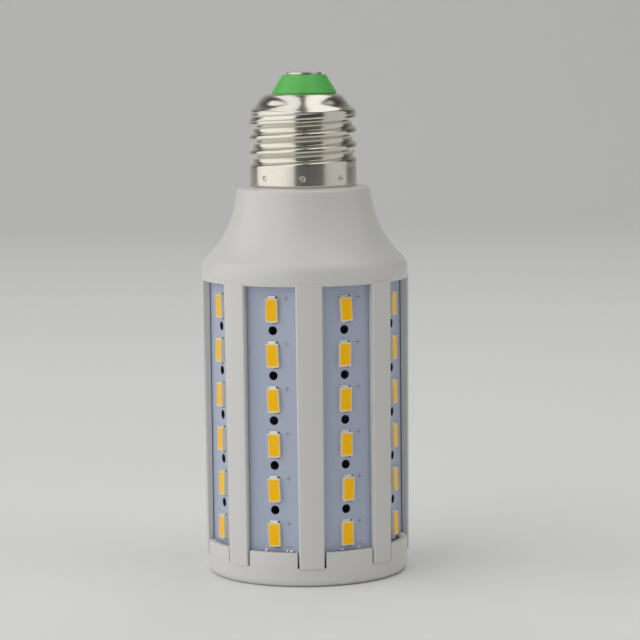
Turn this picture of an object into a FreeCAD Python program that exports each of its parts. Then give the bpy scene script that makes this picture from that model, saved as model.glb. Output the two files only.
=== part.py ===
import FreeCAD, Part
import math
import os

# A screw-cap LED lamp that stands on its end cap, cap up. Millimetres.
# The origin is the centre of the face that it stands on, and +Z is the lamp's axis.
# Pieces round the axis are drawn at the front, facing -Y, and turned into place about Z.

Vector = FreeCAD.Vector
axis_foot = Vector(0, 0, 0)
up = Vector(0, 0, 1)
outward = Vector(0, -1, 0)

# Ribs, all part of the frame moulding, beside the collar's radius at the head and the foot
rib_count = 8
rib_foot_z = 4.6
rib_head_proud = 0.2
rib_foot_inset = 0.25
rib_foot_width = 6.0
rib_head_width = 6.4
rib_edge = 0.45
rib_depth = 5.5
rib_head_lap = 0.5
rib_web_width = 2.0
rib_toe_width = 2.0
rib_toe_depth = 1.6

# Boards between the ribs, set in from the collar's radius and from the corners where they would meet
board_inset = 2.9
board_corner_gap = 2.1
board_thickness = 1.0
board_foot_gap = 0.6
board_head_rise = 1.7
slot_front_gap = 0.25
slot_back_gap = 0.05
slot_side_gap = 0.15
vent_radius = 1.07
vent_sides = 6
vent_lift = 0.5

# LED packages
led_length = 5.7
led_width = 3.0
led_height = 0.84
led_wall = 0.32
led_fill_height = 0.06
leds_per_board = 6
led_pitch = 10.77
led_row_centre_z = 39.24

# How far each LED of a board sits off the row and turns, as placed by the soldering
led_offs = [[0.26, -0.19, -0.12, 0.0, 0.4, 0.05], [0.0, 0.1, 0.15, 0.2, 0.1, 0.0]]
led_turns = [[3.6, -0.8, -1.2, -0.1, -1.3, 0.0], [0.2, 2.8, 3.7, 1.6, 3.4, 2.1]]

# Collar and flared neck
collar_radius = 25.1
collar_foot_z = 71.9
collar_straight = 2.4
collar_wall = 1.6
shoulder_radius = 4.0
shoulder_steps = 2
flare_radius = 25.0
flare_steps = 3
neck_ledge = 3.3
neck_lean_deg = 6.0
neck_straight = 0.7
neck_edge_radius = 0.9
neck_fall_deg = 10.0
neck_plate = 1.8
neck_wall = 1.65
seat_land = 0.9
driver_shelf = 2.9

# Boss that the screw shell is crimped on
boss_height = 2.9
boss_wall = 1.8
boss_gap = 0.1

# Screw cap
cap_length = 27.45
shell_radius = 13.05
shell_wall = 0.35
shell_head_z = 17.5
dome_foot_inset = 1.45
dome_foot_z = 19.1
dome_mouth_inset = 4.85
dome_mouth_z = 22.35
shell_lip = 1.1

# Insulator and contact, a little off the axis
tip_shift = 0.45
insulator_base_inset = 0.35
insulator_rim = 1.0
insulator_plug_depth = 2.6
plug_gap = 0.15
contact_radius = 4.3
contact_height = 0.6
shank_radius = 1.2
shank_length = 3.4
shank_gap = 0.05
shank_sides = 8

# End cap
end_cap_inset = 0.6
end_cap_wall = 1.4
end_cap_height = 8.3
end_edge_radius = 1.8
end_edge_steps = 2
end_ledge = 2.5
end_flange = 1.6
notch_gap = 0.25

# End board
end_board_thickness = 1.0
end_board_gap = 0.2
end_board_sides = 16
end_outer_ring_inset = 5.6
end_outer_ring_count = 9
end_inner_ring_radius = 4.6
end_inner_ring_count = 3

# Links between neighbouring boards
link_width = 0.9
link_thickness = 0.3
link_rise = 1.4
link_drop = 1.2
link_toe_gap = 0.2

# Driver board in the neck; what it carries stands so far in from the neck's bore, at such an angle
driver_width = 20.0
driver_thickness = 1.6
driver_gap = 0.1
driver_drop = 10.5
film_size = (10.0, 5.0, 8.0)
film_place = (0.0, -4.4)
can_radius = 4.0
can_height = 8.4
can_place = (0.0, 5.2)
bridge_size = (4.6, 6.2, 2.4)
bridge_inset = 3.5
bridge_angle = 180.0
chip_size = (4.0, 5.0, 1.6)
chip_inset = 3.1
chip_angle = -34.0
choke_radius = 3.0
choke_height = 5.0
choke_inset = 3.6
choke_angle = 18.0
fuse_radius = 1.25
fuse_length = 5.0
fuse_inset = 3.8
fuse_angle = 139.0
hidden_sides = 12

# Leads
mains_lead_radius = 0.5
neutral_lead_inset = 5.8
neutral_lead_lift = 0.2
neutral_lead_rise = 5.5
led_lead_radius = 0.6
led_lead_reach = 6.0
lead_sides = 6


def polar(radius, degrees):
    # a point of the lathe plane: x is the distance from the axis, z is the height
    angle = math.radians(degrees)
    return radius * math.cos(angle), radius * math.sin(angle)


def lathe_point(radius, height):
    return Vector(radius, 0, height)


def rounded(centre, radius, start_deg, end_deg, steps):
    # points along an arc of the lathe plane, both ends among them
    points = []
    for index in range(steps + 1):
        across, rise = polar(radius, start_deg + (end_deg - start_deg) * index / steps)
        points.append((centre.x + across, centre.z + rise))
    return points


def closed_wire(corners):
    return Part.makePolygon(corners + corners[:1])


def turned_outline(points):
    face = Part.Face(closed_wire([lathe_point(*point) for point in points]))
    return face.revolve(axis_foot, up, 360)


def flat_sided(foot, head):
    # a solid between two outlines whose sides are parallel, so that each side is flat
    faces = [Part.Face(closed_wire(foot)), Part.Face(closed_wire(head))]
    for index in range(len(foot)):
        after = (index + 1) % len(foot)
        faces.append(Part.Face(closed_wire([foot[index], foot[after], head[after], head[index]])))
    solid = Part.makeSolid(Part.makeShell(faces))
    if solid.Volume < 0:
        solid.reverse()
    return solid


def front_box(width, depth, height, front_y, foot_z):
    # centred on x, reaching back from the front face at -front_y
    return Part.makeBox(width, depth, height, Vector(-width / 2, -front_y, foot_z))


def turned_copy(shape, degrees):
    copy = shape.copy()
    copy.rotate(axis_foot, up, degrees)
    return copy


def ring_of(shape, count, first_deg=0.0):
    step = 360.0 / count
    return [turned_copy(shape, first_deg + step * index) for index in range(count)]


def standing(shape, place, height):
    copy = shape.copy()
    copy.translate(Vector(place[0], place[1], height))
    return copy


# Sizes that follow from the ones above
rib_step_deg = 360.0 / rib_count
half_step_deg = rib_step_deg / 2
rib_head_radius = collar_radius + rib_head_proud
rib_foot_radius = collar_radius - rib_foot_inset
rib_back_radius = rib_head_radius - rib_depth
toe_front_radius = rib_back_radius + rib_toe_depth
board_apothem = collar_radius - board_inset
board_width = 2 * (board_apothem * math.tan(math.radians(half_step_deg)) - board_corner_gap)
board_foot_z = rib_foot_z + board_foot_gap
board_head_z = collar_foot_z + board_head_rise

shell_bore = shell_radius - shell_wall
dome_foot_radius = shell_radius - dome_foot_inset
dome_mouth_radius = shell_radius - dome_mouth_inset
shell_lip_radius = dome_mouth_radius - shell_lip
insulator_base_radius = dome_mouth_radius - insulator_base_inset
insulator_top_radius = contact_radius + insulator_rim
plug_radius = shell_lip_radius - plug_gap
boss_radius = shell_bore - boss_gap
boss_bore = boss_radius - boss_wall
neck_radius = shell_radius + neck_ledge
seat_radius = shell_radius + seat_land

neck_lean = math.radians(neck_lean_deg)
flare_turn_deg = math.degrees(math.acos(
    (flare_radius * math.cos(neck_lean) + neck_radius + shoulder_radius - collar_radius)
    / (flare_radius + shoulder_radius)))
shoulder_centre = Vector(collar_radius - shoulder_radius, 0, collar_foot_z + collar_straight)
flare_centre = shoulder_centre + lathe_point(*polar(shoulder_radius + flare_radius, flare_turn_deg))
flare_top = flare_centre - lathe_point(*polar(flare_radius, neck_lean_deg))
neck_side_top = flare_top + Vector(-math.sin(neck_lean), 0, math.cos(neck_lean)) * neck_straight
neck_edge_centre = neck_side_top - lathe_point(*polar(neck_edge_radius, neck_lean_deg))
neck_edge_top = neck_edge_centre + lathe_point(*polar(neck_edge_radius, 90 - neck_fall_deg))
neck_top_z = neck_edge_top.z + (neck_edge_top.x - seat_radius) * math.tan(math.radians(neck_fall_deg))

collar_bore = collar_radius - collar_wall
collar_bore_head_z = collar_foot_z + collar_straight
neck_bore = neck_radius - neck_wall
neck_bore_head_z = neck_top_z - neck_plate
driver_pocket_radius = neck_bore + driver_shelf

driver_top_z = neck_top_z - driver_drop
driver_foot_z = driver_top_z - driver_thickness
driver_corner_radius = driver_pocket_radius - driver_gap
driver_length = 2 * math.sqrt(driver_corner_radius ** 2 - (driver_width / 2) ** 2)

shell_foot_z = neck_top_z
mouth_z = shell_foot_z + dome_mouth_z
contact_top_z = shell_foot_z + cap_length
insulator_top_z = contact_top_z - contact_height

end_cap_radius = collar_radius - end_cap_inset
end_cap_bore = end_cap_radius - end_cap_wall
end_opening_radius = end_cap_bore - end_ledge
end_outer_ring_radius = end_opening_radius - end_outer_ring_inset
end_board_top_z = end_flange + end_board_thickness
end_board_radius = end_cap_bore - end_board_gap


def rib_section(face_radius, face_width, height):
    # a bar that narrows inwards, as each side stands square on the board beside it,
    # with both edges of its face broken
    half = face_width / 2
    side_depth = face_radius - rib_edge - rib_back_radius
    back_half = half - side_depth * math.tan(math.radians(half_step_deg))
    right = [Vector(back_half, -rib_back_radius, height),
             Vector(half, rib_edge - face_radius, height),
             Vector(half - rib_edge, -face_radius, height)]
    left = [Vector(-corner.x, corner.y, corner.z) for corner in reversed(right)]
    return right + left


def rib():
    head_z = collar_foot_z + rib_head_lap
    bar = flat_sided(rib_section(rib_foot_radius, rib_foot_width, rib_foot_z),
                     rib_section(rib_head_radius, rib_head_width, head_z))
    web_front = collar_bore + rib_head_lap
    web = front_box(rib_web_width, web_front - rib_back_radius, collar_straight, web_front, collar_foot_z)
    toe_height = rib_foot_z - end_board_top_z + rib_head_lap
    toe = front_box(rib_toe_width, rib_toe_depth, toe_height, toe_front_radius, end_board_top_z)
    return bar.fuse([web, toe])


def board_slot():
    front = board_apothem + slot_front_gap
    depth = board_thickness + slot_front_gap + slot_back_gap
    height = board_head_z + slot_side_gap
    return front_box(board_width + 2 * slot_side_gap, depth, height, front, 0)


def neck_and_collar():
    # outer side from the collar's foot up to the boss, then the bore back down
    outer = [(collar_radius, collar_foot_z)]
    outer += rounded(shoulder_centre, shoulder_radius, 0, flare_turn_deg, shoulder_steps)
    outer += rounded(flare_centre, flare_radius, 180 + flare_turn_deg, 180 + neck_lean_deg, flare_steps)[1:]
    outer += rounded(neck_edge_centre, neck_edge_radius, neck_lean_deg, 90 - neck_fall_deg, 1)
    inner = [
        (seat_radius, neck_top_z),
        (boss_radius, neck_top_z),
        (boss_radius, neck_top_z + boss_height),
        (boss_bore, neck_top_z + boss_height),
        (boss_bore, neck_bore_head_z),
        (neck_bore, neck_bore_head_z),
        (neck_bore, driver_top_z),
        (driver_pocket_radius, driver_top_z),
        (collar_bore, collar_bore_head_z),
        (collar_bore, collar_foot_z)]
    return turned_outline(outer + inner)


def lamp_frame():
    body = neck_and_collar().fuse(ring_of(rib(), rib_count))
    return body.cut(ring_of(board_slot(), rib_count, half_step_deg)).removeSplitter()


def flat_ring_points(radius, sides):
    # corners of a regular outline, with a flat at the right
    return [polar(radius, 360.0 / sides * (index + 0.5)) for index in range(sides)]


def many_sided(radius, length, sides):
    # an upright bar for round pieces that nothing shows, which would cost many facets
    corners = [Vector(across, along, 0) for across, along in flat_ring_points(radius, sides)]
    return Part.Face(closed_wire(corners)).extrude(up * length)


def led_heights():
    middle = (leds_per_board - 1) / 2
    return [led_row_centre_z + led_pitch * (middle - index) for index in range(leds_per_board)]


def vent(height):
    # one of the through holes of a board, cut with flat sides
    corners = [Vector(across, -board_apothem, height + rise)
               for across, rise in flat_ring_points(vent_radius, vent_sides)]
    return Part.Face(closed_wire(corners)).extrude(Vector(0, board_thickness, 0))


def led_board():
    plate = front_box(board_width, board_thickness, board_head_z - board_foot_z, board_apothem, board_foot_z)
    heights = led_heights()
    middles = [(above + below) / 2 for above, below in zip(heights, heights[1:])]
    return plate.cut([vent(middle + vent_lift) for middle in middles])


def led_housing():
    # lies in the XZ plane with its back on y = 0 and its light side towards -Y
    return front_box(led_width, led_height, led_length, led_height, -led_length / 2)


def led_fill():
    # the field inside the housing's rim, a hair proud of it
    length = led_length - 2 * led_wall
    width = led_width - 2 * led_wall
    return front_box(width, led_fill_height, length, led_height + led_fill_height, -length / 2)


def led_row(package, board_index):
    # the packages of one board, each a little off and turned, as the soldering left it
    offs = led_offs[board_index % len(led_offs)]
    turns = led_turns[board_index % len(led_turns)]
    row = []
    for off, turn, height in zip(offs, turns, led_heights()):
        placed = package.copy()
        placed.rotate(axis_foot, outward, turn)
        placed.translate(Vector(off, -board_apothem, height))
        row.append(turned_copy(placed, half_step_deg + rib_step_deg * board_index))
    return Part.makeCompound(row)


def screw_shell():
    # the rolled cap without its thread: skirt, head and dome, up to the mouth and back down inside
    return turned_outline([
        (shell_radius, shell_foot_z),
        (shell_radius, shell_head_z + shell_foot_z),
        (dome_foot_radius, dome_foot_z + shell_foot_z),
        (dome_mouth_radius, mouth_z),
        (shell_lip_radius, mouth_z),
        (shell_bore, shell_head_z + shell_foot_z),
        (shell_bore, shell_foot_z)])


def shifted_tip(shape):
    copy = shape.copy()
    copy.translate(Vector(tip_shift, 0, 0))
    return copy


def cap_insulator():
    plug_foot_z = mouth_z - insulator_plug_depth
    narrow_plug = plug_radius - tip_shift
    body = turned_outline([
        (0, plug_foot_z),
        (narrow_plug, plug_foot_z),
        (narrow_plug, mouth_z),
        (insulator_base_radius, mouth_z),
        (insulator_top_radius, insulator_top_z),
        (0, insulator_top_z)])
    bore = many_sided(shank_radius + shank_gap, insulator_top_z - plug_foot_z, shank_sides)
    return shifted_tip(body.cut(standing(bore, (0, 0), plug_foot_z)))


def centre_contact():
    disc = standing(Part.makeCylinder(contact_radius, contact_height), (0, 0), insulator_top_z)
    shank = many_sided(shank_radius, shank_length, shank_sides)
    return shifted_tip(disc.fuse(standing(shank, (0, 0), insulator_top_z - shank_length)))


def end_cap():
    edge_centre = lathe_point(end_cap_radius - end_edge_radius, end_edge_radius)
    outline = [(end_opening_radius, 0)]
    outline += rounded(edge_centre, end_edge_radius, -90, 0, end_edge_steps)
    outline += [
        (end_cap_radius, end_cap_height),
        (end_cap_bore, end_cap_height),
        (end_cap_bore, end_flange),
        (end_opening_radius, end_flange)]
    notch = front_box(rib_head_width + 2 * notch_gap, rib_depth, end_cap_height, rib_head_radius + notch_gap,
                      rib_foot_z)
    return turned_outline(outline).cut(ring_of(notch, rib_count))


def end_board():
    corners = [Vector(across, along, end_flange)
               for across, along in flat_ring_points(end_board_radius, end_board_sides)]
    return Part.Face(closed_wire(corners)).extrude(up * end_board_thickness)


def end_leds(package):
    # packages lie on the lower face, light side down, long side along the radius
    facing_down = package.copy()
    facing_down.rotate(axis_foot, Vector(1, 0, 0), 90)
    facing_down.translate(Vector(0, 0, end_flange))
    outer = facing_down.copy()
    outer.translate(Vector(0, -end_outer_ring_radius, 0))
    inner = facing_down.copy()
    inner.translate(Vector(0, -end_inner_ring_radius, 0))
    packages = ring_of(outer, end_outer_ring_count) + ring_of(inner, end_inner_ring_count)
    return Part.makeCompound(packages)


def board_jumpers():
    # a flat link climbs one board's face, crosses in front of the rib's toe and climbs the next board,
    # so its legs stand where the crossing meets the boards' faces
    cross_front = toe_front_radius + link_toe_gap + link_thickness
    turned = math.radians(half_step_deg)
    half = (cross_front - board_apothem * math.cos(turned)) / math.sin(turned)
    low_z = rib_foot_z - link_drop
    foot = Vector(half, -board_apothem, board_foot_z + link_rise)
    turn = FreeCAD.Rotation(up, -half_step_deg)
    right = turn.multVec(foot)
    cross = front_box(2 * abs(right.x) + link_width, link_thickness, link_width, cross_front, low_z)
    leg_height = foot.z - low_z
    leg = front_box(link_width, link_thickness, leg_height, board_apothem + link_thickness, low_z)
    legs = []
    for side in (-1, 1):
        placed = leg.copy()
        placed.translate(Vector(side * half, 0, 0))
        legs.append(turned_copy(placed, -side * half_step_deg))
    link = cross.fuse(legs).removeSplitter()
    links = [turned_copy(link, rib_step_deg * index) for index in range(1, rib_count)]
    return Part.makeCompound(links)


def driver_board():
    # its four corners sit under the shelf of the neck's bore
    return front_box(driver_length, driver_width, driver_thickness, driver_width / 2, driver_foot_z)


def off_bore(inset, degrees):
    # a place on the driver board, measured in from the neck's bore
    return polar(neck_bore - inset, degrees)


def block_part(size, place):
    block = Part.makeBox(size[0], size[1], size[2], Vector(-size[0] / 2, -size[1] / 2, 0))
    return standing(block, place, driver_top_z)


def electrolytic_capacitor():
    return standing(many_sided(can_radius, can_height, hidden_sides), can_place, driver_top_z)


def power_choke():
    choke = many_sided(choke_radius, choke_height, hidden_sides)
    return standing(choke, off_bore(choke_inset, choke_angle), driver_top_z)


def fuse_resistor():
    # lies on the board on one of its flats
    barrel = many_sided(fuse_radius, fuse_length, hidden_sides)
    barrel.rotate(axis_foot, Vector(0, 1, 0), 90)
    flat_reach = fuse_radius * math.cos(math.pi / hidden_sides)
    barrel.translate(Vector(-fuse_length / 2, 0, flat_reach))
    return standing(barrel, off_bore(fuse_inset, fuse_angle), driver_top_z)


def upright_lead(radius, place, foot_z, head_z):
    return standing(many_sided(radius, head_z - foot_z, lead_sides), place, foot_z)


def live_lead():
    # from the driver board, between the capacitors, up to the shank of the contact
    return upright_lead(mains_lead_radius, (tip_shift, 0), driver_top_z, insulator_top_z - shank_length)


def neutral_lead():
    # from the driver board up past the boss, slanting out to the inside of the shell
    start = Vector(boss_bore - neutral_lead_inset, 0, driver_top_z + neutral_lead_lift)
    height = neck_top_z + boss_height + neutral_lead_rise - start.z
    reach = shell_bore - mains_lead_radius - start.x
    slope = Vector(reach, 0, height)
    lead = many_sided(mains_lead_radius, slope.Length, lead_sides)
    lead.rotate(axis_foot, Vector(0, 1, 0), math.degrees(math.atan2(reach, height)))
    lead.translate(start)
    return lead


def led_lead(side):
    # from under the driver board down through the column to the end board
    return upright_lead(led_lead_radius, (side * led_lead_reach, 0), end_board_top_z, driver_foot_z)


def write_part(name, shape):
    shape.exportStep("parts/" + name + ".step")
    print(name, "solids", len(shape.Solids), "valid", shape.isValid(), "volume", round(shape.Volume, 2))


def build():
    parts = {
        "screw_shell": screw_shell(),
        "cap_insulator": cap_insulator(),
        "centre_contact": centre_contact(),
        "lamp_frame": lamp_frame(),
        "end_cap": end_cap(),
        "end_board": end_board(),
        "end_led_housings": end_leds(led_housing()),
        "end_led_phosphor": end_leds(led_fill()),
        "board_jumpers": board_jumpers(),
        "driver_board": driver_board(),
        "film_capacitor": block_part(film_size, film_place),
        "electrolytic_capacitor": electrolytic_capacitor(),
        "bridge_rectifier": block_part(bridge_size, off_bore(bridge_inset, bridge_angle)),
        "drive_chip": block_part(chip_size, off_bore(chip_inset, chip_angle)),
        "power_choke": power_choke(),
        "fuse_resistor": fuse_resistor(),
        "live_lead": live_lead(),
        "neutral_lead": neutral_lead(),
        "led_lead_positive": led_lead(1),
        "led_lead_negative": led_lead(-1),
    }
    board = led_board()
    for index in range(rib_count):
        number = str(index + 1)
        parts["led_board_" + number] = turned_copy(board, half_step_deg + rib_step_deg * index)
        parts["led_housings_" + number] = led_row(led_housing(), index)
        parts["led_phosphor_" + number] = led_row(led_fill(), index)
    return parts


os.makedirs("parts", exist_ok=True)
parts = build()
for name, shape in parts.items():
    write_part(name, shape)
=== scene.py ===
import math

import bmesh
import bpy
import numpy as np
from mathutils import Matrix, Vector


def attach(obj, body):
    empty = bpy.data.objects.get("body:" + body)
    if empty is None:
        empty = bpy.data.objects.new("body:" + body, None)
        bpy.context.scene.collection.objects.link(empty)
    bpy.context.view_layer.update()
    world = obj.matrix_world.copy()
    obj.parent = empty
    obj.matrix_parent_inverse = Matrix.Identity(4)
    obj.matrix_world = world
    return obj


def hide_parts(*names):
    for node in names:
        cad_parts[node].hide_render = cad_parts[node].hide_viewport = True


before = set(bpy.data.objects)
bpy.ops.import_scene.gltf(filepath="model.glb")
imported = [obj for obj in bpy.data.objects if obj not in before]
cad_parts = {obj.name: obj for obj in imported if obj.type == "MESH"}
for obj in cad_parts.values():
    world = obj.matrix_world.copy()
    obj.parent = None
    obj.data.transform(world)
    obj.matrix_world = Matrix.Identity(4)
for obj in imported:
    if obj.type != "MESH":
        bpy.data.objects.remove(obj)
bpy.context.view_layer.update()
mm = 0.001
ribCount = 8
print("frame loaded")


def hexColour(code):
    # sRGB hex to the linear colour that the shaders mix in
    parts = np.array([int(code[start:start + 2], 16) for start in (1, 3, 5)]) / 255.0
    linear = np.where(parts <= 0.04045, parts / 12.92, ((parts + 0.055) / 1.055) ** 2.4)
    return (*linear.tolist(), 1.0)


def addNode(tree, kind, settings=None, values=None, links=None):
    node = tree.nodes.new(kind)
    for key, value in (settings or {}).items():
        setattr(node, key, value)
    for key, value in (values or {}).items():
        node.inputs[key].default_value = value
    for key, socket in (links or {}).items():
        tree.links.new(socket, node.inputs[key])
    return node


def newFinish(name, colour, roughness, **values):
    # a principled shader with one colour; values are its other sockets
    material = bpy.data.materials.new(name)
    material.use_nodes = True
    shader = material.node_tree.nodes["Principled BSDF"]
    shader.inputs["Base Color"].default_value = hexColour(colour)
    shader.inputs["Roughness"].default_value = roughness
    for key, value in values.items():
        shader.inputs[key].default_value = value
    return material


def grain(material, sizeMm, strength, heightMm, detail=2.0):
    # a bump of noise on Object coordinates, which are in metres: scale = 1 / size of a blob
    tree = material.node_tree
    place = addNode(tree, "ShaderNodeTexCoord")
    noise = addNode(tree, "ShaderNodeTexNoise", values={"Scale": 1.0 / (sizeMm * mm), "Detail": detail},
                    links={"Vector": place.outputs["Object"]})
    bump = addNode(tree, "ShaderNodeBump", values={"Strength": strength, "Distance": heightMm * mm},
                   links={"Height": noise.outputs["Fac"]})
    tree.links.new(bump.outputs["Normal"], tree.nodes["Principled BSDF"].inputs["Normal"])


def gridFaces(rows, columns, closeRows=False, closeColumns=False):
    # quads of a grid of points, row by row, facing out where columns run anticlockwise and rows run up
    row = np.arange(rows if closeRows else rows - 1)[:, None]
    column = np.arange(columns if closeColumns else columns - 1)[None, :]
    nextRow = (row + 1) % rows
    nextColumn = (column + 1) % columns
    corners = [row * columns + column, row * columns + nextColumn,
               nextRow * columns + nextColumn, nextRow * columns + column]
    return np.stack(np.broadcast_arrays(*corners), axis=-1).reshape(-1, 4).tolist()


def gridPoints(x, y, z):
    # one point for each row and column of the three, which may each be a single row or column
    return np.stack(np.broadcast_arrays(x, y, z), axis=-1)


def roundAxis(distance, angle, height):
    # x = d cos a, y = d sin a, z = h
    return gridPoints(distance * np.cos(angle), distance * np.sin(angle), height)


def fullTurn(segments):
    return np.linspace(0, 2 * np.pi, segments, endpoint=False)[None, :]


def turnedShell(outline, segments):
    # a closed outline of distance and height, carried round Z
    outline = np.asarray(outline, float)
    points = roundAxis(outline[:, :1], fullTurn(segments), outline[:, 1:])
    return points.reshape(-1, 3), gridFaces(len(outline), segments, True, True)


def turnedCap(outline, segments):
    # the same for an open outline that starts and ends on the axis: its ends close in one point each
    outline = np.asarray(outline, float)
    inner = outline[1:-1]
    rings = roundAxis(inner[:, :1], fullTurn(segments), inner[:, 1:])
    poles = [[0, 0, outline[0, 1]], [0, 0, outline[-1, 1]]]
    points = np.concatenate([poles, rings.reshape(-1, 3)])
    faces = [[index + 2 for index in face] for face in gridFaces(len(inner), segments, False, True)]
    last = 2 + (len(inner) - 1) * segments
    for index in range(segments):
        after = (index + 1) % segments
        faces.append([0, 2 + after, 2 + index])
        faces.append([1, last + index, last + after])
    return points, faces


def stackedShell(rings):
    # rings of points one above the other, anticlockwise from above, closed by a flat face at each end
    rings = np.asarray(rings, float)
    count, around = rings.shape[:2]
    faces = gridFaces(count, around, False, True)
    faces.append(list(range(around))[::-1])
    faces.append(list(range((count - 1) * around, count * around)))
    return rings.reshape(-1, 3), faces


def blockShell(low, high):
    x0, y0, z0 = low
    x1, y1, z1 = high
    base = np.array([[x0, y0], [x1, y0], [x1, y1], [x0, y1]])
    return stackedShell([np.column_stack([base, np.full(4, z)]) for z in (z0, z1)])


def joinShells(shells):
    points, faces, offset = [], [], 0
    for shellPoints, shellFaces in shells:
        points.append(shellPoints)
        faces += [[index + offset for index in face] for face in shellFaces]
        offset += len(shellPoints)
    return np.concatenate(points), faces


def turnShell(shell, degrees):
    # turned about Z: x' = x cos a - y sin a, y' = x sin a + y cos a
    points, faces = shell
    sine, cosine = math.sin(math.radians(degrees)), math.cos(math.radians(degrees))
    turn = np.array([[cosine, -sine, 0], [sine, cosine, 0], [0, 0, 1]])
    return points @ turn.T, faces


def moveShell(shell, offset):
    points, faces = shell
    return points + np.asarray(offset, float), faces


def arcPoints(centre, radius, startDeg, endDeg, steps):
    # (distance, height) = centre + radius (cos a, sin a)
    angle = np.radians(np.linspace(startDeg, endDeg, steps + 1))
    return np.column_stack([centre[0] + radius * np.cos(angle), centre[1] + radius * np.sin(angle)])


def eased(share):
    # 3 s^2 - 2 s^3 between 0 and 1
    share = np.clip(share, 0, 1)
    return share * share * (3 - 2 * share)


def easedOver(value, span):
    # 0 up to the start of the span, 1 from its end on
    return eased((value - span[0]) / (span[1] - span[0]))


def roundedLoop(corners, radius, steps=3):
    # a closed outline with each corner swapped for an arc that is tangent to both of its sides
    corners = np.asarray(corners, float)
    radii = np.broadcast_to(radius, len(corners))
    points = []
    for index, corner in enumerate(corners):
        size = radii[index]
        if size == 0:
            points.append(corner)
            continue
        before = corners[index - 1] - corner
        after = corners[(index + 1) % len(corners)] - corner
        before, after = before / np.linalg.norm(before), after / np.linalg.norm(after)
        half = math.acos(float(np.clip(before @ after, -1, 1))) / 2
        middle = corner + (before + after) / np.linalg.norm(before + after) * size / math.sin(half)
        enter = corner + before * size / math.tan(half)
        leave = corner + after * size / math.tan(half)
        share = np.linspace(0, 1, steps + 1)[:, None]
        ray = (enter - middle) * (1 - share) + (leave - middle) * share
        points.extend(middle + ray / np.linalg.norm(ray, axis=1)[:, None] * size)
    return np.array(points)


weldDistance = 0.002 * mm


def newPiece(name, shell, material, replaced=(), smoothDeg=35, weld=False, inlay=None):
    # inlay is a second material, and a 1 for each face that it covers among the 0s of the others
    points, faces = shell
    mesh = bpy.data.meshes.new(name)
    mesh.from_pydata((points * mm).tolist(), [], faces)
    mesh.materials.append(material)
    if inlay:
        mesh.materials.append(inlay[0])
        mesh.polygons.foreach_set("material_index", inlay[1])
    if weld:
        work = bmesh.new()
        work.from_mesh(mesh)
        bmesh.ops.remove_doubles(work, verts=work.verts, dist=weldDistance)
        bmesh.ops.dissolve_degenerate(work, edges=work.edges, dist=weldDistance)
        work.to_mesh(mesh)
        work.free()
    mesh.update()
    mesh.shade_smooth()
    mesh.set_sharp_from_angle(angle=math.radians(smoothDeg))
    piece = bpy.data.objects.new(name, mesh)
    bpy.context.collection.objects.link(piece)
    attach(piece, "root")
    if replaced:
        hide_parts(*replaced)


# moulded white plastic: an even, faintly warm white with a satin gloss
whitePlastic = newFinish("mouldedWhitePlastic", "#DDDCD9", 0.36, IOR=1.5)
grain(whitePlastic, 0.35, 0.05, 0.02)
# nickel on rolled steel: a warm bright mirror that the rolling has left a little uneven
nickelPlate = newFinish("rolledNickelPlate", "#D8D4C8", 0.19, Metallic=1.0)
grain(nickelPlate, 2.4, 0.12, 0.05, 1.0)
# moulded green plastic, smooth and glossy
greenPlastic = newFinish("mouldedGreenPlastic", "#5FC55B", 0.32, IOR=1.5)
# tinned contact: dull silver
tinnedContact = newFinish("tinnedContact", "#D9D2C2", 0.32, Metallic=1.0)
# white solder mask on aluminium, painted a cool pale grey: partly the mask's own cool tint, partly painted
# shade that greys the white; a soft gloss
solderMaskPaintedShade = newFinish("whiteSolderMaskPaintedShade", "#B5BED3", 0.36, IOR=1.52)
# the cut edge of the aluminium core, seen in the vent holes
ventEdge = newFinish("cutBoardEdge", "#6E7678", 0.5, Metallic=1.0)
# moulded package: warm white, near matt
packagePlastic = newFinish("ledPackagePlastic", "#F5EBCB", 0.45, IOR=1.5)
# phosphor in silicone: saturated yellow with a faint painted glow, a weak emission though the LED is unlit,
# standing in for the yellow that the phosphor gives back under daylight
phosphorSilicone = newFinish("phosphorSilicone", "#FFC200", 0.35, IOR=1.41)
phosphorShader = phosphorSilicone.node_tree.nodes["Principled BSDF"]
phosphorShader.inputs["Specular IOR Level"].default_value = 0.25
# painted glow: a weak yellow emission on the unlit phosphor
phosphorShader.inputs["Emission Color"].default_value = hexColour("#FFB400")
phosphorShader.inputs["Emission Strength"].default_value = 0.1
# reflowed solder: bright, slightly rounded silver
reflowedSolder = newFinish("reflowedSolder", "#EFEEE9", 0.42, Metallic=1.0)
# printed marks: flat grey ink
markInk = newFinish("printedMark", "#76868F", 0.7)
# painted shadow: near-black patches beside the upper tab and along the lower end of each package, with some
# gloss
paintedPackageShade = newFinish("paintedPackageShade", "#2C2A2B", 0.4)
# set hot glue: off-white and waxy
hotGlue = newFinish("hotGlue", "#DAD7CF", 0.35, IOR=1.48)
# what stands inside, in plain satin or matt colours: the driver's laminate, a dipped capacitor, a shrunk
# sleeve, moulded epoxy, ferrite, a lacquered resistor, the leads' sleeves and tinned strip
laminate = newFinish("greenLaminate", "#3F6B46", 0.45)
filmCase = newFinish("dippedFilmCase", "#A65A2A", 0.35)
canSleeve = newFinish("canSleeve", "#20242A", 0.35)
blackEpoxy = newFinish("blackEpoxy", "#1C1C1E", 0.5)
ferrite = newFinish("mattFerrite", "#33312F", 0.7)
resistorCoat = newFinish("resistorCoat", "#6E8E7C", 0.45)
leadSleeve = newFinish("leadSleeve", "#E9E6DF", 0.45)
tinnedStrip = newFinish("tinnedStrip", "#C4C1B8", 0.35, Metallic=1.0)
print("finishes made")

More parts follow.
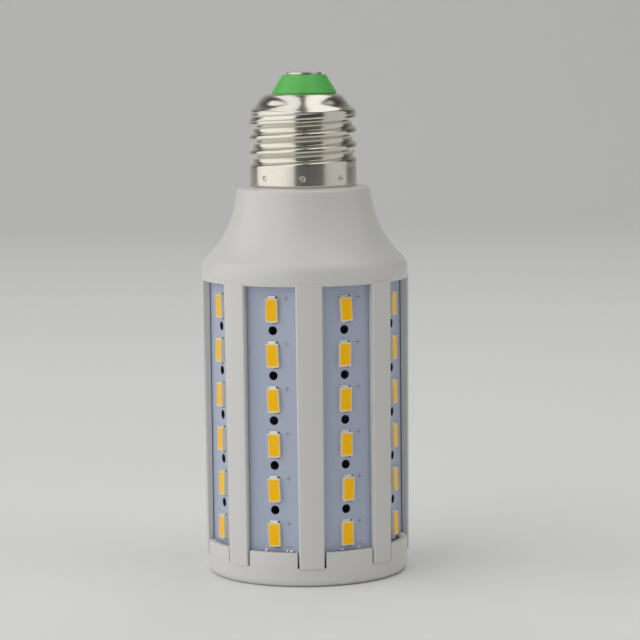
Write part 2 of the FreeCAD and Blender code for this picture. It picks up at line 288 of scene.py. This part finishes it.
moulding = {"collarRadius": 25.1, "collarFoot": 71.9, "collarStraight": 2.4, "collarEdge": 0.25,
            "shoulderRadius": 4.0, "flareRadius": 25.0, "neckRadius": 16.35, "leanDeg": 6.0,
            "neckStraight": 0.7, "neckEdge": 0.9, "fallDeg": 10.0, "seatRadius": 13.95,
            "bossRadius": 12.6, "bossHeight": 2.9, "bossEdge": 0.3, "bossBore": 10.8, "plate": 1.8,
            "neckBore": 14.7, "shelfRadius": 17.6, "shelfDrop": 10.5, "collarBore": 23.5, "segments": 224}


def neckOutline():
    # the collar's foot, straight side, shoulder arc, hollow flare arc, neck, then the bore downwards
    m = moulding
    lean = math.radians(m["leanDeg"])
    leaning = np.array([math.cos(lean), math.sin(lean)])
    shoulder = np.array([m["collarRadius"] - m["shoulderRadius"], m["collarFoot"] + m["collarStraight"]])
    reach = m["shoulderRadius"] + m["flareRadius"]
    turn = math.acos((m["flareRadius"] * leaning[0] + m["neckRadius"] - shoulder[0]) / reach)
    turnDeg = math.degrees(turn)
    flare = shoulder + reach * np.array([math.cos(turn), math.sin(turn)])
    neckTop = flare - m["flareRadius"] * leaning
    neckTop = neckTop + m["neckStraight"] * np.array([-leaning[1], leaning[0]])
    edge = neckTop - m["neckEdge"] * leaning
    foot = [m["collarRadius"] - m["collarEdge"], m["collarFoot"] + m["collarEdge"]]
    outer = [arcPoints(foot, m["collarEdge"], -90, 0, 4),
             arcPoints(shoulder, m["shoulderRadius"], 0, turnDeg, 14),
             arcPoints(flare, m["flareRadius"], 180 + turnDeg, 180 + m["leanDeg"], 30)[1:],
             arcPoints(edge, m["neckEdge"], m["leanDeg"], 90 - m["fallDeg"], 8)]
    rim = outer[-1][-1]
    top = rim[1] + (rim[0] - m["seatRadius"]) * math.tan(math.radians(m["fallDeg"]))
    shelf = top - m["shelfDrop"]
    bossTop, bossEdge = top + m["bossHeight"], m["bossEdge"]
    bore = [[m["seatRadius"], top], [m["bossRadius"], top], [m["bossRadius"], bossTop - bossEdge],
            [m["bossRadius"] - bossEdge, bossTop], [m["bossBore"], bossTop],
            [m["bossBore"], top - m["plate"]], [m["neckBore"], top - m["plate"]], [m["neckBore"], shelf],
            [m["shelfRadius"], shelf], [m["collarBore"], m["collarFoot"] + m["collarStraight"]],
            [m["collarBore"], m["collarFoot"]]]
    return np.concatenate(outer + [np.array(bore)]), top


neckPoints, neckTopZ = neckOutline()
ribs = {"foot": 4.6, "head": 72.4, "footRadius": 24.85, "headRadius": 25.3, "footWidth": 6.0,
        "headWidth": 6.4, "edge": 0.45, "back": 19.8, "slotFront": 22.45, "slotBack": 21.15, "slotSide": 7.25,
        "toeFoot": 2.6, "toeHead": 5.1, "toeHalf": 1.0, "toeDepth": 1.6, "webHalf": 1.0, "webFront": 24.0,
        "webHeight": 2.4}


def ribRing(height):
    # the front rib's section: curved face, rounded edges, sides square on the boards, a slot in each side.
    # A side runs as x = start + slope y, where the slope is minus the tangent of half a step
    r = ribs
    share = (height - r["foot"]) / (r["head"] - r["foot"])
    radius = r["footRadius"] + (r["headRadius"] - r["footRadius"]) * share
    half = (r["footWidth"] + (r["headWidth"] - r["footWidth"]) * share) / 2
    turn = math.pi / ribCount
    sine, cosine, slope = math.sin(turn), math.cos(turn), -math.tan(turn)
    flat = half - r["edge"]
    x = np.linspace(0, flat, 7)[:-1]
    face = np.column_stack([x, -np.sqrt(radius ** 2 - x ** 2)])
    edgeTop = -math.sqrt(radius ** 2 - flat ** 2)
    corner = arcPoints([flat, edgeTop + r["edge"]], r["edge"], -90, math.degrees(turn), 8)
    start = corner[-1, 0] - slope * corner[-1, 1]

    def onSide(distance):
        # where the side meets the plane at that distance from the axis, flat to the board
        y = (distance - sine * start) / (slope * sine - cosine)
        return [start + y * slope, y]

    def inSlot(distance):
        return [distance * sine - r["slotSide"] * cosine, -distance * cosine - r["slotSide"] * sine]

    side = np.array([onSide(r["slotFront"]), inSlot(r["slotFront"]), inSlot(r["slotBack"]),
                     onSide(r["slotBack"]), [start - r["back"] * slope, -r["back"]]])
    right = np.concatenate([face, corner, side])
    left = right[1:][::-1] * [-1, 1]
    ring = np.concatenate([left, right])
    return np.column_stack([ring, np.full(len(ring), height)])


def frameShells():
    r = ribs
    rib = stackedShell([ribRing(height) for height in np.linspace(r["foot"], r["head"], 5)])
    toe = blockShell([-r["toeHalf"], -r["back"] - r["toeDepth"], r["toeFoot"]],
                     [r["toeHalf"], -r["back"], r["toeHead"]])
    web = blockShell([-r["webHalf"], -r["webFront"], moulding["collarFoot"]],
                     [r["webHalf"], -r["back"], moulding["collarFoot"] + r["webHeight"]])
    shells = [turnedShell(neckPoints, moulding["segments"])]
    for index in range(ribCount):
        shells += [turnShell(shell, index * 360 / ribCount) for shell in (rib, toe, web)]
    return joinShells(shells)


newPiece("frameMoulding", frameShells(), whitePlastic, ["lamp_frame"], 30)
print("frame moulding made")

endCap = {"radius": 24.5, "wall": 1.4, "height": 8.3, "notchFoot": 4.6, "notchHalf": 3.45, "edge": 1.8,
          "opening": 20.6, "flange": 1.6, "flangeEdge": 0.15, "rim": 0.2, "arcColumns": 20, "notchColumns": 5}


def endCapShell():
    # one section carried round Z; where a rib end stands, its top sinks to the notch's floor,
    # and the notch's sides stay parallel: half angle = asin(half width / distance)
    c = endCap
    bore = c["radius"] - c["wall"]
    flangeEnd = c["opening"] + c["flangeEdge"]
    lower = np.concatenate([[[flangeEnd, 0.0]],
                            arcPoints([c["radius"] - c["edge"], c["edge"]], c["edge"], -90, 0, 10)])
    rimOut = arcPoints([c["radius"] - c["rim"], -c["rim"]], c["rim"], 0, 90, 3)
    rimIn = arcPoints([bore + c["rim"], -c["rim"]], c["rim"], 90, 180, 3)
    upper = np.concatenate([rimOut, rimIn])
    inner = np.array([[bore, c["flange"]], [flangeEnd, c["flange"]],
                      [c["opening"], c["flange"] - c["flangeEdge"]], [c["opening"], c["flangeEdge"]]])
    distance = np.concatenate([lower[:, 0], upper[:, 0], inner[:, 0]])[:, None]
    lifted = np.concatenate([np.zeros(len(lower)), np.ones(len(upper)), np.zeros(len(inner))])[:, None]
    height = np.concatenate([lower[:, 1], upper[:, 1], inner[:, 1]])[:, None]
    half = np.arcsin(c["notchHalf"] / distance)
    step = 2 * np.pi / ribCount
    angles, tops = [], []
    for index in range(ribCount):
        middle = -np.pi / 2 + index * step
        share = np.linspace(-1, 1, c["notchColumns"])[None, :]
        angles.append(middle + half * share)
        tops.append(np.full(c["notchColumns"], c["notchFoot"]))
        share = np.linspace(0, 1, c["arcColumns"])[None, :]
        angles.append((middle + half) * (1 - share) + (middle + step - half) * share)
        tops.append(np.full(c["arcColumns"], c["height"]))
    angle = np.concatenate(angles, axis=1)
    z = height + lifted * np.concatenate(tops)[None, :]
    return roundAxis(distance, angle, z).reshape(-1, 3), gridFaces(*z.shape, True, True)


newPiece("endCapRing", endCapShell(), whitePlastic, ["end_cap"], 30, weld=True)
print("end cap made")

# the screw cap. Each furrow: turns above the groove, depth, half width, and where along the helix, in
# degrees, it eases in and out
screwCap = {"foot": neckTopZ, "radius": 12.95, "wall": 0.33, "depth": 0.95, "pitch": 3.629, "grooveZ": 105.97,
            "rootHalf": 0.36, "mouthHalf": 1.56, "crestLift": 0.1, "crestHalf": 1.3, "crestSpare": -80,
            "fadeIn": (-720.0, -480.0), "fadeOut": (380.0, 680.0), "cylinderTop": 112.4,
            "furrows": ((0.55, 0.14, 0.42, (330.0, 385.0), (480.0, 560.0)),
                        (0.87, 0.11, 0.36, (440.0, 490.0), (550.0, 610.0))),
            "markCount": 8, "markZ": 96.5, "markRadius": 0.48, "markEdge": 0.26, "markDepth": 0.27,
            "markCentre": 0.1, "markTurn": -93.5, "markSpan": 3.4, "markColumns": 18, "plainColumns": 31,
            "footRows": (0.12, 0.6), "markRows": 0.8, "markRowStep": 0.08, "rowBelowMarks": 95.4,
            "rowAboveMarks": 97.6, "threadFrom": 97.9, "threadRowStep": 0.125, "domeRows": 30,
            "innerEvery": 6,
            "dome": ((12.95, 112.4), (12.72, 112.75), (12.25, 113.05), (11.74, 113.45), (11.2, 114.0),
                     (10.88, 114.5), (10.55, 115.0), (10.15, 115.5), (9.66, 116.0), (9.1, 116.35),
                     (8.4, 116.62), (7.9, 116.69)),
            "lip": ((7.15, 116.69), (7.1, 116.5), (7.2, 116.38))}


def capAngles():
    # the columns lie closer together over each punch mark
    s = screwCap
    step = 360 / s["markCount"]
    near = np.linspace(-s["markSpan"], s["markSpan"], s["markColumns"])
    far = np.linspace(s["markSpan"], step - s["markSpan"], s["plainColumns"])[1:-1]
    middle = s["markTurn"] + step * np.arange(s["markCount"])[:, None]
    return np.radians((middle + np.concatenate([near, far])[None, :]).ravel())[None, :]


def nearestTurn(angle, height, offset):
    # the height and the helix angle in degrees of the nearest turn of the groove, or of what lies
    # offset turns above it: centre = groove height + pitch x turns
    s = screwCap
    turns = angle / (2 * np.pi)
    nearest = np.round((height - s["grooveZ"]) / s["pitch"] - turns - offset) + offset + turns
    return s["grooveZ"] + s["pitch"] * nearest, 360 * nearest


def threadShare(helixDeg, spare):
    # 1 along the thread, eased to 0 at both ends of the helix; both ends lie spare degrees further out, and
    # a spare below 0 makes the run shorter
    s = screwCap
    return easedOver(helixDeg + spare, s["fadeIn"]) * (1 - easedOver(helixDeg - spare, s["fadeOut"]))


def threadCut(angle, height):
    # how far the thread lies inside the plain radius: a groove that is flat at its root and eased up its
    # flanks, less a low rounded crest half a turn above and below it
    s = screwCap
    centre, helixDeg = nearestTurn(angle, height, 0.0)
    groove = s["depth"] * (1 - easedOver(np.abs(height - centre), (s["rootHalf"], s["mouthHalf"])))
    crestZ, crestDeg = nearestTurn(angle, height, 0.5)
    crest = s["crestLift"] * (1 - eased(np.abs(height - crestZ) / s["crestHalf"]))
    return groove * threadShare(helixDeg, 0) - crest * threadShare(crestDeg, s["crestSpare"])


def furrowDepth(angle, height):
    # the faint furrows where the rolls leave the wall: each is a rounded dip,
    # depth x (1 - eased(distance / half width)), eased in and out along the helix
    dip = 0.0
    for offset, depth, halfWidth, easeIn, easeOut in screwCap["furrows"]:
        centre, helixDeg = nearestTurn(angle, height, offset)
        along = easedOver(helixDeg, easeIn) * (1 - easedOver(helixDeg, easeOut))
        dip = dip + depth * along * (1 - eased(np.abs(height - centre) / halfWidth))
    return dip


def punchDepth(angle, height):
    # a ring dent at each mark, with a shallower middle
    s = screwCap
    step = 2 * np.pi / s["markCount"]
    offset = (angle - math.radians(s["markTurn"]) + step / 2) % step - step / 2
    away = np.hypot(offset * s["radius"], height - s["markZ"])
    ring = 1 - eased(np.abs(away - s["markRadius"]) / s["markEdge"])
    return s["markDepth"] * ring + s["markCentre"] * (1 - eased(away / s["markRadius"]))


def capShell():
    # rows of distance and height: the lower edge, the wall and the dome less what is cut into them, the lip,
    # then every few of the same rows downwards, the wall's thickness further in
    s = screwCap
    angle = capAngles()
    markRows = np.arange(-s["markRows"], s["markRows"] + 0.01, s["markRowStep"]) + s["markZ"]
    threadRows = np.arange(s["threadFrom"], s["cylinderTop"], s["threadRowStep"])
    wallZ = np.concatenate([s["foot"] + np.array(s["footRows"]), [s["rowBelowMarks"]], markRows,
                            [s["rowAboveMarks"]], threadRows])
    knots = np.arange(len(s["dome"]))
    domeX, domeZ = (np.interp(np.linspace(0, knots[-1], s["domeRows"]), knots, column)
                    for column in np.array(s["dome"]).T)
    outerX = np.concatenate([np.full_like(wallZ, s["radius"]), domeX])[:, None]
    outerZ = np.concatenate([wallZ, domeZ])[:, None]
    cut = threadCut(angle, outerZ) + furrowDepth(angle, outerZ)
    outer = outerX - cut - punchDepth(angle, outerZ)
    lower = np.array([[s["radius"] - s["wall"], s["foot"] + 0.06], [s["radius"] - s["wall"] / 2, s["foot"]]])
    lip = np.array(s["lip"])
    pick = np.unique(np.append(np.arange(0, len(outerZ), s["innerEvery"]), len(outerZ) - 1))[::-1]
    innerX = outerX[pick] - s["wall"] - cut[pick]
    innerZ = np.maximum(outerZ[pick] - 0.05, s["foot"] + 0.08)
    ones = np.ones_like(angle)
    distance = np.concatenate([lower[:, :1] * ones, outer, lip[:, :1] * ones, innerX])
    height = np.concatenate([lower[:, 1:], outerZ, lip[:, 1:], innerZ])
    points = roundAxis(distance, angle, height)
    return points.reshape(-1, 3), gridFaces(len(distance), angle.shape[1], True, True)


newPiece("threadedShell", capShell(), nickelPlate, ["screw_shell"], 60)
print("screw shell made")

tip = {"shift": 0.45, "base": 7.85, "top": 5.3, "topZ": neckTopZ + 26.85, "mouthZ": neckTopZ + 22.35,
       "rimHeight": 0.35, "bore": 1.25, "plug": 6.5, "plugDepth": 2.6, "contact": 4.3,
       "contactZ": neckTopZ + 27.45, "shank": 1.2, "shankLength": 3.4}
plugFoot = tip["mouthZ"] - tip["plugDepth"]
insulatorLoop = roundedLoop([[tip["bore"], plugFoot], [tip["plug"], plugFoot], [tip["plug"], tip["mouthZ"]],
                             [tip["base"], tip["mouthZ"]], [tip["base"], tip["mouthZ"] + tip["rimHeight"]],
                             [tip["top"], tip["topZ"]], [tip["bore"], tip["topZ"]]],
                            [0, 0.2, 0, 0.1, 0.15, 0.35, 0], 4)
newPiece("greenInsulator", moveShell(turnedShell(insulatorLoop, 96), [tip["shift"], 0, 0]), greenPlastic,
         ["cap_insulator"])
# half the contact's section, from the shank's foot up: a rounded rim and a middle that dips a little
shankFoot, contactZ = tip["topZ"] - tip["shankLength"], tip["contactZ"]
contactOutline = [[0, shankFoot], [tip["shank"], shankFoot], [tip["shank"], tip["topZ"]],
                  [tip["contact"] - 0.1, tip["topZ"]], [tip["contact"], tip["topZ"] + 0.1],
                  [tip["contact"], contactZ - 0.2], [tip["contact"] - 0.08, contactZ - 0.05],
                  [tip["contact"] - 0.3, contactZ], [2.2, contactZ], [1.9, contactZ - 0.12],
                  [0.7, contactZ - 0.16], [0, contactZ - 0.16]]
newPiece("contactDisc", moveShell(turnedCap(contactOutline, 72), [tip["shift"], 0, 0]), tinnedContact,
         ["centre_contact"])
print("insulator and contact made")

# ventEdge softens the front edge of a vent: by this share of its radius, and by this depth in mm
board = {"apothem": 22.2, "width": 14.19, "thickness": 1.0, "foot": 5.2, "head": 73.6, "vent": 1.07,
         "ventLift": 0.5, "ventEdge": 0.06, "ventSides": 32, "pitch": 10.77, "middle": 39.24, "count": 6}
ledHeights = board["middle"] + board["pitch"] * ((board["count"] - 1) / 2 - np.arange(board["count"]))
ventHeights = (ledHeights[1:] + ledHeights[:-1]) / 2 + board["ventLift"]


def ventedPlate():
    # each vent's cell is a ring of quads from its circle to the cell's edge, front and back, with the
    # wall of the hole between them; edge point = centre + ray scaled to meet the rectangle
    b = board
    half, rise = b["width"] / 2, b["pitch"] / 2
    corner = math.atan2(rise, half)
    corners = [corner, math.pi - corner, math.pi + corner, 2 * math.pi - corner]
    even = np.linspace(0, 2 * np.pi, b["ventSides"], endpoint=False) + math.pi / 4
    angle = np.sort(np.concatenate([even, corners]) % (2 * math.pi))
    ray = np.column_stack([np.cos(angle), np.sin(angle)])
    toSide, toEnd = np.array([[half], [rise]]) / np.maximum(np.abs(ray.T), 1e-9)
    edge = ray * np.minimum(toSide, toEnd)[:, None]
    ring = ray * b["vent"]
    count = len(angle)
    shells, wallMarks = [], []
    front, back = -b["apothem"], -b["apothem"] + b["thickness"]
    for height in ventHeights:
        loops = [(edge, front), (ring * (1 + b["ventEdge"]), front), (ring, front + b["ventEdge"]),
                 (ring, back), (edge, back)]
        points = np.concatenate([np.column_stack([loop[:, 0], np.full(count, depth), loop[:, 1] + height])
                                 for loop, depth in loops])
        faces = [face[::-1] for face in gridFaces(len(loops), count, False, True)]
        shells.append((points, faces))
        wallMarks += [0] * count * 2 + [1] * count + [0] * count
    x = np.unique(np.round(edge[np.abs(np.abs(edge[:, 1]) - rise) < 1e-6, 0], 6))
    for low, high in ((b["foot"], ventHeights[-1] - rise), (ventHeights[0] + rise, b["head"])):
        for depth, order in ((front, 1), (back, -1)):
            rows = np.array([[[a, depth, z] for a in x] for z in (low, high)])
            faces = gridFaces(2, len(x))
            shells.append((rows.reshape(-1, 3), [face[::order] for face in faces]))
    cellZ = edge[np.abs(edge[:, 0] - half) < 1e-6, 1]
    sideZ = np.concatenate([[b["foot"]], (ventHeights[:, None] + cellZ[None, :]).ravel(), [b["head"]]])
    sideZ = np.unique(np.round(sideZ, 6))
    for side, order in ((half, 1), (-half, -1)):
        rows = np.array([[[side, front, z], [side, back, z]] for z in sideZ])
        shells.append((rows.reshape(-1, 3), [face[::order] for face in gridFaces(len(sideZ), 2)]))
    for level, order in ((b["foot"], -1), (b["head"], 1)):
        rows = np.array([[[a, depth, level] for a in x] for depth in (front, back)])
        shells.append((rows.reshape(-1, 3), [face[::order] for face in gridFaces(2, len(x))]))
    plateShell = joinShells(shells)
    return plateShell, wallMarks + [0] * (len(plateShell[1]) - len(wallMarks))


# offs and turns: how far each package is off the row and how many degrees it is turned, on even and odd
# boards. Each tab and patch of painted shadow, upper then lower: left, right, low and high from the end,
# depth
led = {"length": 5.7, "width": 3.0, "height": 0.9, "wall": 0.22, "wallEnd": 0.31, "cup": 0.45, "fill": 0.07,
       "offs": ((0.26, -0.19, -0.12, 0.0, 0.4, 0.05), (0.0, 0.1, 0.15, 0.2, 0.1, 0.0)),
       "turns": ((3.6, -0.8, -1.2, -0.1, -1.3, 0.0), (0.2, 2.8, 3.7, 1.6, 3.4, 2.1)),
       "tabs": ((-1.12, 0.86, -0.1, 0.5, 0.3), (-1.05, 0.75, -0.2, 0.1, 0.22)),
       "shadePatches": ((0.9, 1.34, -0.1, 0.36, 0.08), (-0.2, 1.2, -0.34, 0.1, 0.06))}


def flatLoop(low, high, corner, depth):
    # a rounded rectangle in front of the board; rings of it run anticlockwise seen from in front, so a
    # stack of them from the board outwards has its faces turned out
    loop = roundedLoop([low, [high[0], low[1]], high, [low[0], high[1]]], corner, 3)
    return np.column_stack([loop[:, 0], np.full(len(loop), -depth), loop[:, 1]])


def flatRing(halfWidth, halfLength, corner, depth):
    return flatLoop([-halfWidth, -halfLength], [halfWidth, halfLength], corner, depth)


def ledBody():
    wide, long, top = led["width"] / 2, led["length"] / 2, led["height"]
    cupWide, cupLong = wide - led["wall"], long - led["wallEnd"]
    return stackedShell([flatRing(wide, long, 0.12, 0), flatRing(wide, long, 0.12, top - 0.12),
                         flatRing(wide - 0.04, long - 0.04, 0.1, top - 0.03),
                         flatRing(wide - 0.1, long - 0.1, 0.08, top), flatRing(cupWide, cupLong, 0.28, top),
                         flatRing(cupWide - 0.1, cupLong - 0.1, 0.22, top - led["cup"])])


def ledFill():
    cupWide, cupLong = led["width"] / 2 - led["wall"], led["length"] / 2 - led["wallEnd"]
    level = led["height"] - led["fill"]
    return stackedShell([flatRing(cupWide - 0.08, cupLong - 0.08, 0.24, led["height"] - led["cup"] - 0.02),
                         flatRing(cupWide - 0.02, cupLong - 0.02, 0.27, level),
                         flatRing(cupWide - 0.3, cupLong - 0.3, 0.2, level + 0.02)])


def endTabs(tabs):
    # one soldered tab, or one patch of painted shadow, at each end of the package, rounded and with a
    # softened front
    shells = []
    for (left, right, low, high, depth), end in zip(tabs, (led["length"] / 2, -led["length"] / 2)):
        rings = [flatLoop([left + grow, end + low + grow], [right - grow, end + high - grow], 0.08, level)
                 for grow, level in ((0.0, 0.0), (0.0, depth - 0.06), (0.07, depth))]
        shells.append(stackedShell(rings))
    return joinShells(shells)


def boardTurn(boardIndex):
    return (boardIndex + 0.5) * 360 / ribCount


def inRow(package, boardIndex):
    # the packages of one board, each turned in its plane, x' = x cos a - z sin a, z' = x sin a + z cos a,
    # and set off the row by a little
    points, faces = package
    x, z = points[:, 0], points[:, 2]
    shells = []
    for off, turn, height in zip(led["offs"][boardIndex % 2], led["turns"][boardIndex % 2], ledHeights):
        sine, cosine = math.sin(math.radians(turn)), math.cos(math.radians(turn))
        placed = np.column_stack([x * cosine - z * sine, points[:, 1], x * sine + z * cosine])
        shells.append((placed + [off, -board["apothem"], height], faces))
    return turnShell(joinShells(shells), boardTurn(boardIndex))


marks = {"plusSide": 3.5, "plusLift": 2.8, "arm": 0.7, "half": 0.07, "proud": 0.012,
         "minusSides": (2.9, 4.3), "minusHeights": (9.4, 9.52)}


def boardMarks():
    # two crossed bars of ink for each package, a hair in front of the mask, and one bar near the foot
    m = marks
    front = -board["apothem"]
    shells = []
    for height in ledHeights:
        x, z = m["plusSide"], height + m["plusLift"]
        for wide, tall, proud in ((m["arm"], m["half"], m["proud"]), (m["half"], m["arm"], m["proud"] * 1.2)):
            shells.append(blockShell([x - wide, front - proud, z - tall], [x + wide, front, z + tall]))
    (left, right), (low, high) = m["minusSides"], m["minusHeights"]
    shells.append(blockShell([left, front - m["proud"], low], [right, front, high]))
    return joinShells(shells)


plate, wallMarks = ventedPlate()
for index in range(ribCount):
    number = str(index + 1)
    newPiece("ventedBoard" + number, turnShell(plate, boardTurn(index)), solderMaskPaintedShade,
             ["led_board_" + number], 40, weld=True, inlay=(ventEdge, wallMarks))
    newPiece("ledBodies" + number, inRow(ledBody(), index), packagePlastic,
             ["led_housings_" + number])
    newPiece("ledFills" + number, inRow(ledFill(), index), phosphorSilicone,
             ["led_phosphor_" + number])
    newPiece("ledTabs" + number, inRow(endTabs(led["tabs"]), index), reflowedSolder)
    # painted shadow: near-black patches at the ends of each package
    newPiece("ledShadePatches" + number, inRow(endTabs(led["shadePatches"]), index), paintedPackageShade)
    newPiece("boardMarks" + number, turnShell(boardMarks(), boardTurn(index)), markInk)
print("boards made")

# beads of solder on the boards' feet, by board index: across, height, half width, half height and rise
specks = {7: ((-2.25, 8.35, 0.6, 0.42, 0.4), (3.1, 8.4, 0.45, 0.4, 0.35), (4.1, 8.35, 0.5, 0.42, 0.3)),
          0: ((-1.2, 8.35, 0.6, 0.42, 0.4), (3.3, 8.4, 0.45, 0.4, 0.35)),
          1: ((-0.2, 8.75, 0.9, 0.42, 0.45),)}
# the lump of glue that lies on the end cap's rim: turn, distance, rim height, half width, half depth, rise
glue = {"turn": 76.0, "distance": 23.4, "foot": 8.3, "halfWidth": 1.5, "halfDepth": 1.05, "rise": 1.05}
# both are half an egg of rings; the last ring lies 6 degrees short of the tip, and a flat face closes it
eggTilt = np.radians(np.linspace(0, 84, 8))[:, None]


def beadShell(across, height, halfWidth, halfHeight, rise):
    # on the board's face: x = across + w cos t cos a, z = height + h cos t sin a, out = rise sin t
    angle = fullTurn(20)
    x = across + halfWidth * np.cos(eggTilt) * np.cos(angle)
    y = -board["apothem"] - rise * np.sin(eggTilt)
    z = height + halfHeight * np.cos(eggTilt) * np.sin(angle)
    return stackedShell(gridPoints(x, y, z))


def glueShell():
    # on the rim: x = w cos t cos a, y = -distance + d cos t sin a, z = foot + rise sin t
    g = glue
    angle = fullTurn(24)
    x = g["halfWidth"] * np.cos(eggTilt) * np.cos(angle)
    y = -g["distance"] + g["halfDepth"] * np.cos(eggTilt) * np.sin(angle)
    z = g["foot"] + g["rise"] * np.sin(eggTilt)
    return turnShell(stackedShell(gridPoints(x, y, z)), g["turn"])


speckShells = [turnShell(beadShell(*bead), boardTurn(index))
               for index, beads in specks.items() for bead in beads]
newPiece("solderSpecks", joinShells(speckShells), reflowedSolder)
newPiece("glueLump", glueShell(), hotGlue)
print("solder specks and glue made")

# the nodes inside keep their CAD form and are only painted
plainNodes = {"end_board": solderMaskPaintedShade, "end_led_housings": packagePlastic,
              "end_led_phosphor": phosphorSilicone, "board_jumpers": tinnedStrip,
              "driver_board": laminate, "film_capacitor": filmCase,
              "electrolytic_capacitor": canSleeve, "bridge_rectifier": blackEpoxy, "drive_chip": blackEpoxy,
              "power_choke": ferrite, "fuse_resistor": resistorCoat, "live_lead": leadSleeve,
              "neutral_lead": leadSleeve, "led_lead_positive": leadSleeve, "led_lead_negative": leadSleeve}
for node, finish in plainNodes.items():
    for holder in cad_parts[node].material_slots:
        holder.material = finish

# in metres, unlike the pieces
floorSize = {"half": 2.4, "front": 0.8, "curveStart": 1.1, "curveRadius": 0.7, "wallTop": 2.4}


def floorShell():
    # a sheet that lies flat, then turns up behind in a quarter circle to a wall
    f = floorSize
    curve = np.radians(np.linspace(0, 90, 25))
    y = np.concatenate([[-f["front"], 0.0], f["curveStart"] + f["curveRadius"] * np.sin(curve),
                        [f["curveStart"] + f["curveRadius"]]])[:, None]
    z = np.concatenate([[0.0, 0.0], f["curveRadius"] * (1 - np.cos(curve)), [f["wallTop"]]])[:, None]
    x = np.linspace(-f["half"], f["half"], 9)[None, :]
    return gridPoints(x, y, z).reshape(-1, 3), gridFaces(y.shape[0], x.shape[1])


floorPaper = newFinish("paleStudioPaper", "#F2F2F0", 0.8)
floorPoints, floorFaces = floorShell()
floorMesh = bpy.data.meshes.new("studioFloor")
floorMesh.from_pydata(floorPoints.tolist(), [], floorFaces)
floorMesh.shade_smooth()
floorMesh.materials.append(floorPaper)
floor = bpy.data.objects.new("studioFloor", floorMesh)
bpy.context.collection.objects.link(floor)


def newLamp(name, lampPlace, target, width, tall, radiance):
    # an area lamp whose power gives the radiance: power = radiance x pi x area
    lamp = bpy.data.lights.new(name, "AREA")
    lamp.shape = "RECTANGLE"
    lamp.size = width
    lamp.size_y = tall
    lamp.energy = radiance * math.pi * width * tall
    holder = bpy.data.objects.new(name, lamp)
    holder.location = lampPlace
    holder.rotation_mode = "QUATERNION"
    holder.rotation_quaternion = (target - lampPlace).to_track_quat("-Z", "Y")
    bpy.context.collection.objects.link(holder)


# each upright panel: turn from the front in degrees, left is minus; distance, foot, width, height; radiance
softboxes = {"keySoftbox": (-70, 0.95, 0.0, 2.2, 1.5, 1.15), "fillSoftbox": (74, 1.2, 0.0, 1.4, 1.6, 0.55)}
for name, (turn, distance, foot, width, tall, radiance) in softboxes.items():
    around = math.radians(turn)
    lampPlace = Vector((math.sin(around) * distance, -math.cos(around) * distance, foot + tall / 2))
    newLamp(name, lampPlace, Vector((0, 0, foot + tall / 2)), width, tall, radiance)

# each panel overhead: place in x and y, width, depth, radiance; a dark gap lies between the two
overheads = {"topLeftSoftbox": (-0.39, 0.1, 0.58, 2.1, 1.1), "topRightSoftbox": (0.45, 0.1, 0.7, 2.1, 1.25)}
overheadHeight = 1.3
for name, (x, y, width, depth, radiance) in overheads.items():
    newLamp(name, Vector((x, y, overheadHeight)), Vector((x, y, 0)), width, depth, radiance)

# the rest of the room is dim
world = bpy.data.worlds.new("dimRoom")
bpy.context.scene.world = world
world.use_nodes = True
background = world.node_tree.nodes["Background"]
background.inputs["Color"].default_value = (1, 1, 1, 1)
background.inputs["Strength"].default_value = 0.06

# the camera that was fitted to the photo: focal length and picture size in pixels, its place in mm
view = {"focalPixels": 2675, "picturePixels": 640, "sensor": 36.0, "orbitDeg": -2.5, "aside": 3.63,
        "away": 650.0, "height": 133.7, "downDeg": 6.35, "rollDeg": -0.68}
camera = bpy.data.cameras.new("viewCamera")
camera.sensor_width = view["sensor"]
camera.lens = view["focalPixels"] / view["picturePixels"] * view["sensor"]
cameraHolder = bpy.data.objects.new("viewCamera", camera)
bpy.context.collection.objects.link(cameraHolder)
orbit = Matrix.Rotation(math.radians(view["orbitDeg"]), 4, "Z")
place = Matrix.Translation((view["aside"] * mm, -view["away"] * mm, view["height"] * mm))
tilt = Matrix.Rotation(math.radians(90 - view["downDeg"]), 4, "X")
roll = Matrix.Rotation(math.radians(view["rollDeg"]), 4, "Z")
cameraHolder.matrix_world = orbit @ place @ tilt @ roll
bpy.context.scene.camera = cameraHolder
bpy.context.scene.view_settings.view_transform = "Standard"

print("scene ready")
